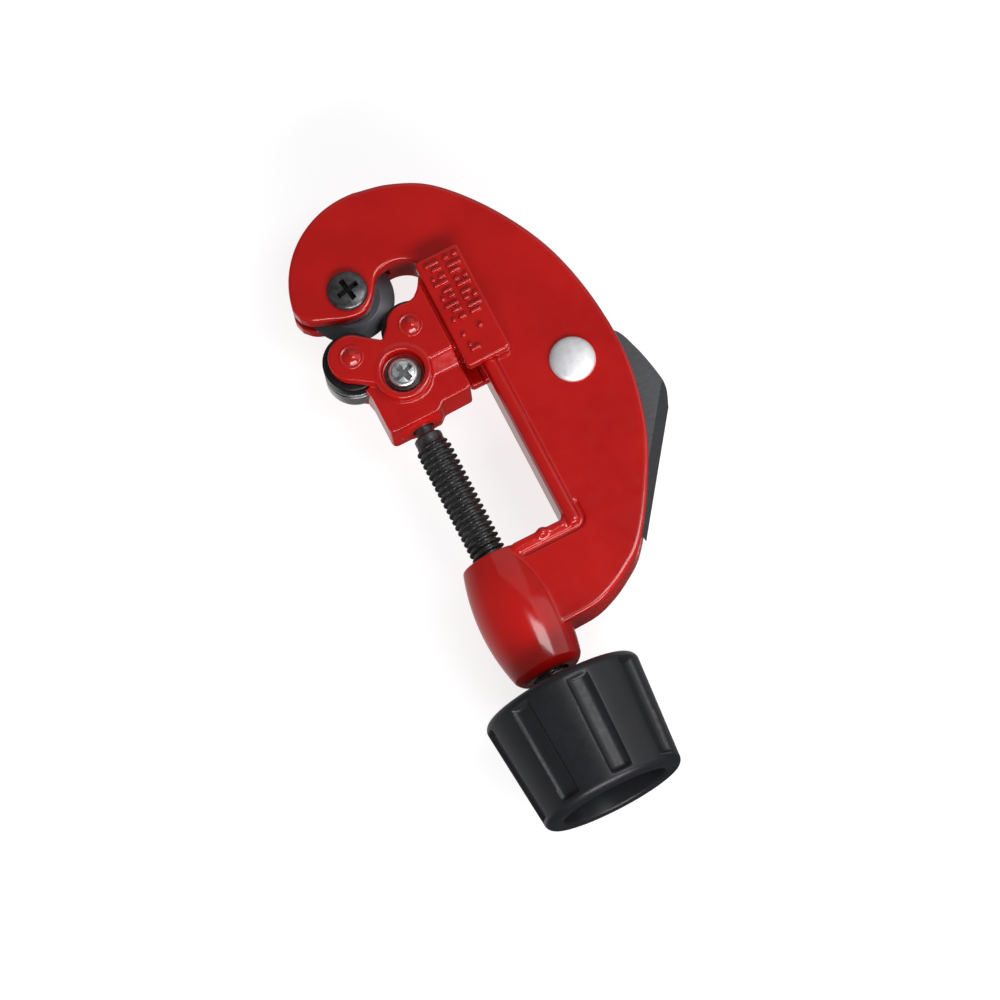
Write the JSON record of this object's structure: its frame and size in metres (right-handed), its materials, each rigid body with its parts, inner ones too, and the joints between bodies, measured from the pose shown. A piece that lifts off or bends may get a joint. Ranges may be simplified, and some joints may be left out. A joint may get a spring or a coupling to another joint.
{
  "type": "pipe cutter",
  "caption": "Screw-feed pipe cutter: C-shaped red cast frame with a cutting wheel in its jaw, a sliding roller carriage, a fluted knob and a folding reamer blade in its back.",
  "frame": {"origin": "centre of the bounding box on X and Y, on the plane that the flat-lying tool's knob touches", "axes": "+Y along the feed screw from the knob to the jaw, +X from the feed screw towards the back of the frame, +Z out of the front face"},
  "size_m": [0.0696, 0.146, 0.0364],
  "materials": {
    "red_paint": "glossy red enamel over die-cast zinc",
    "tool_steel": "ground dark tool steel",
    "bright_steel": "turned bright steel",
    "black_oxide": "black oxide",
    "zinc_plate": "bright zinc plate",
    "aluminium": "satin pressed aluminium",
    "blade_steel": "dark grey oxide with a ground edge",
    "black_plastic": "moulded, satin"
  },
  "bodies": {
    "frame": {"frame_casting": "red_paint", "wheel_axle_screw": "black_oxide", "reamer_rivet": "aluminium", "reamer_washer_front": "bright_steel", "reamer_washer_rear": "bright_steel"},
    "wheel": {"cutting_wheel": "tool_steel"},
    "slide": {"slide_casting": "red_paint", "roller_pin_left": "red_paint", "roller_pin_right": "red_paint", "retaining_screw": "zinc_plate", "retaining_washer": "black_oxide", "thrust_disc": "bright_steel"},
    "roller_left": {"roller_left": "bright_steel"},
    "roller_right": {"roller_right": "bright_steel"},
    "feed": {"feed_screw": "black_oxide", "knob": "black_plastic", "knob_screw": "zinc_plate", "knob_washer": "zinc_plate"},
    "reamer": {"reamer_blade": "blade_steel"}
  },
  "joints": [
    {"name": "wheel_spin", "type": "hinge", "parent": "frame", "child": "wheel", "pos_m": [-0.0178, 0.0528, 0.0182], "axis": [0, 0, 1], "continuous": true},
    {"name": "slide_travel", "type": "slide", "parent": "frame", "child": "slide", "axis": [0, 1, 0], "range_m": [-0.0299, 0]},
    {"name": "roller_left_spin", "type": "hinge", "parent": "slide", "child": "roller_left", "pos_m": [-0.024, 0.0382, 0.0182], "axis": [0, 0, 1], "continuous": true},
    {"name": "roller_right_spin", "type": "hinge", "parent": "slide", "child": "roller_right", "pos_m": [-0.0093, 0.0389, 0.0182], "axis": [0, 0, 1], "continuous": true},
    {"name": "feed_turn", "type": "hinge", "parent": "slide", "child": "feed", "pos_m": [-0.0166, -0.003, 0.0182], "axis": [0, 1, 0], "range_deg": [-7650, 0]},
    {"name": "reamer_swing", "type": "hinge", "parent": "frame", "child": "reamer", "pos_m": [0.0188, 0.0164, 0.0182], "axis": [0, 0, 1], "range_deg": [0, 95]}
  ],
  "couplings": [
    {"joint": "feed_turn", "follows": "slide_travel", "rad_per_m": 4456.2}
  ]
}
